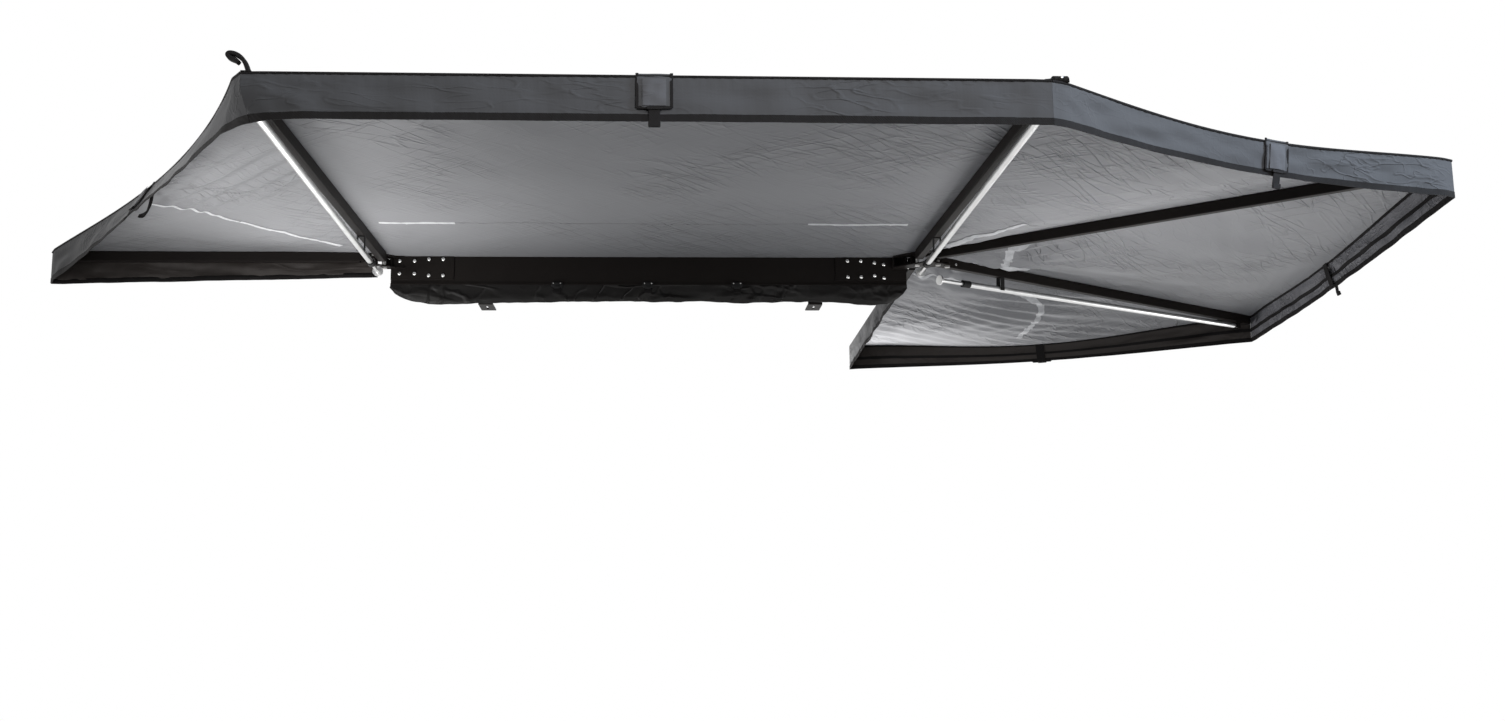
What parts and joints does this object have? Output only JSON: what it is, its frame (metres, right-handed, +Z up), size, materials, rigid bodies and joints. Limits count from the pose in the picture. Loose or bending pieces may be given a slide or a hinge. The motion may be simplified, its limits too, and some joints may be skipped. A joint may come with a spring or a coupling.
{
  "type": "vehicle side awning",
  "caption": "Free-standing 270 degree vehicle awning: a backing plate with hinge brackets, folding arms that fan out, a fabric canopy with hanging valances, and telescopic legs under the arms.",
  "frame": {"origin": "middle of the backing plate's back face, the face that sits against the rack brackets", "axes": "+X along the plate towards the rear of the vehicle, +Y out of the plate's back face towards the vehicle, +Z up"},
  "size_m": [6.2515, 4.7229, 0.3134],
  "materials": {
    "black_alloy": "black powder-coated aluminium, satin",
    "black_steel": "black powder-coated steel, satin",
    "bright_steel": "zinc-plated steel",
    "bright_alloy": "clear-anodised aluminium",
    "black_plastic": "moulded nylon, matt",
    "silver_cloth": "coated canopy cloth, silver-grey underside",
    "grey_cloth": "coated canopy cloth, dark grey",
    "black_cover": "black coated cover cloth"
  },
  "bodies": {
    "base": {"backing_plate": "black_alloy", "front_hinge_bracket": "black_steel", "rear_hinge_bracket": "black_steel", "front_bracket_bolts": "bright_steel", "rear_bracket_bolts": "bright_steel", "rack_bracket_front": "black_steel", "rack_bracket_rear": "black_steel", "rack_bracket_bolts_front": "bright_steel", "rack_bracket_bolts_rear": "bright_steel", "hinge_pin_0": "bright_steel", "hinge_pin_1": "bright_steel", "hinge_pin_2": "bright_steel", "hinge_pin_3": "bright_steel", "hinge_pin_4": "bright_steel", "hinge_pin_5": "bright_steel", "storage_bag": "black_cover", "canopy_centre": "silver_cloth", "valance_centre": "grey_cloth"},
    "first_arm": {"arm_0": "black_alloy", "arm_cap_0": "black_plastic", "knuckle_0": "bright_alloy", "canopy_front": "silver_cloth", "valance_front": "grey_cloth"},
    "second_arm": {"arm_1": "black_alloy", "arm_cap_1": "black_plastic", "knuckle_1": "bright_alloy", "leg_saddle_1": "black_steel", "leg_clip_1": "black_plastic", "corner_loop": "black_cover"},
    "third_arm": {"arm_2": "black_alloy", "arm_cap_2": "black_plastic", "knuckle_2": "bright_alloy", "leg_saddle_2": "black_steel", "leg_clip_2": "black_plastic"},
    "fourth_arm": {"arm_3": "black_alloy", "arm_cap_3": "black_plastic", "knuckle_3": "bright_alloy", "canopy_rear_1": "silver_cloth", "valance_rear_1": "grey_cloth"},
    "fifth_arm": {"arm_4": "black_alloy", "arm_cap_4": "black_plastic", "knuckle_4": "bright_alloy", "leg_saddle_4": "black_steel", "leg_clip_4": "black_plastic", "canopy_rear_2": "silver_cloth", "valance_rear_2": "grey_cloth"},
    "sixth_arm": {"arm_5": "black_alloy", "arm_cap_5": "black_plastic", "knuckle_5": "bright_alloy", "canopy_rear_3": "silver_cloth", "valance_rear_3": "grey_cloth"},
    "leg_of_second_arm": {"leg_tube_1": "bright_alloy", "leg_collar_1": "black_plastic"},
    "leg_of_third_arm": {"leg_tube_2": "bright_alloy", "leg_collar_2": "black_plastic"},
    "leg_of_fifth_arm": {"leg_tube_4": "bright_alloy", "leg_collar_4": "black_plastic"},
    "foot_of_second_arm": {"leg_rod_1": "bright_alloy"},
    "foot_of_third_arm": {"leg_rod_2": "bright_alloy"},
    "foot_of_fifth_arm": {"leg_rod_4": "bright_alloy"}
  },
  "joints": [
    {"name": "second_arm_hinge", "type": "hinge", "parent": "base", "child": "second_arm", "pos_m": [-1.275, -0.062, 0.045], "axis": [0, 0, 1], "range_deg": [0, 90], "deforming": ["canopy_centre", "valance_centre"]},
    {"name": "first_arm_hinge", "type": "hinge", "parent": "base", "child": "first_arm", "pos_m": [-1.32, -0.102, 0.045], "axis": [0, 0, 1], "range_deg": [0, 180], "deforming": ["canopy_front", "valance_front"]},
    {"name": "sixth_arm_hinge", "type": "hinge", "parent": "base", "child": "sixth_arm", "pos_m": [1.437, -0.11, 0.022], "axis": [0, 0, -1], "range_deg": [0, 270], "deforming": ["canopy_rear_3", "valance_rear_3"]},
    {"name": "fifth_arm_hinge", "type": "hinge", "parent": "base", "child": "fifth_arm", "pos_m": [1.385, -0.15, 0.034], "axis": [0, 0, -1], "range_deg": [0, 208.5], "deforming": ["canopy_rear_2", "valance_rear_2"]},
    {"name": "fourth_arm_hinge", "type": "hinge", "parent": "base", "child": "fourth_arm", "pos_m": [1.33, -0.182, 0.045], "axis": [0, 0, -1], "range_deg": [0, 140], "deforming": ["canopy_rear_1", "valance_rear_1"]},
    {"name": "third_arm_hinge", "type": "hinge", "parent": "base", "child": "third_arm", "pos_m": [1.285, -0.142, 0.058], "axis": [0, 0, -1], "range_deg": [0, 90.5]},
    {"name": "leg_hinge_second_arm", "type": "hinge", "parent": "second_arm", "child": "leg_of_second_arm", "pos_m": [-1.275, -2.392, 0.0013], "axis": [-1, 0, 0], "range_deg": [0, 88.75]},
    {"name": "leg_slide_second_arm", "type": "slide", "parent": "leg_of_second_arm", "child": "foot_of_second_arm", "axis": [0, 0.9998, -0.0218], "range_m": [-0.135, 0.42]},
    {"name": "leg_hinge_third_arm", "type": "hinge", "parent": "third_arm", "child": "leg_of_third_arm", "pos_m": [1.30468, -2.39691, 0.0013], "axis": [-1, -0.0087, 0], "range_deg": [0, 88.75]},
    {"name": "leg_slide_third_arm", "type": "slide", "parent": "leg_of_third_arm", "child": "foot_of_third_arm", "axis": [-0.0087, 0.9997, -0.0218], "range_m": [-0.135, 0.42]},
    {"name": "leg_hinge_fifth_arm", "type": "hinge", "parent": "fifth_arm", "child": "leg_of_fifth_arm", "pos_m": [3.3199, 0.98249, -0.08343], "axis": [0.4772, -0.8788, 0], "range_deg": [0, 90.9]},
    {"name": "leg_slide_fifth_arm", "type": "slide", "parent": "leg_of_fifth_arm", "child": "foot_of_fifth_arm", "axis": [-0.8787, -0.4771, 0.016], "range_m": [-0.135, 0.42]}
  ],
  "couplings": [
    {"joint": "first_arm_hinge", "follows": "second_arm_hinge", "ratio": 2},
    {"joint": "fifth_arm_hinge", "follows": "sixth_arm_hinge", "ratio": 0.77222},
    {"joint": "fourth_arm_hinge", "follows": "sixth_arm_hinge", "ratio": 0.51852},
    {"joint": "third_arm_hinge", "follows": "sixth_arm_hinge", "ratio": 0.33519}
  ]
}
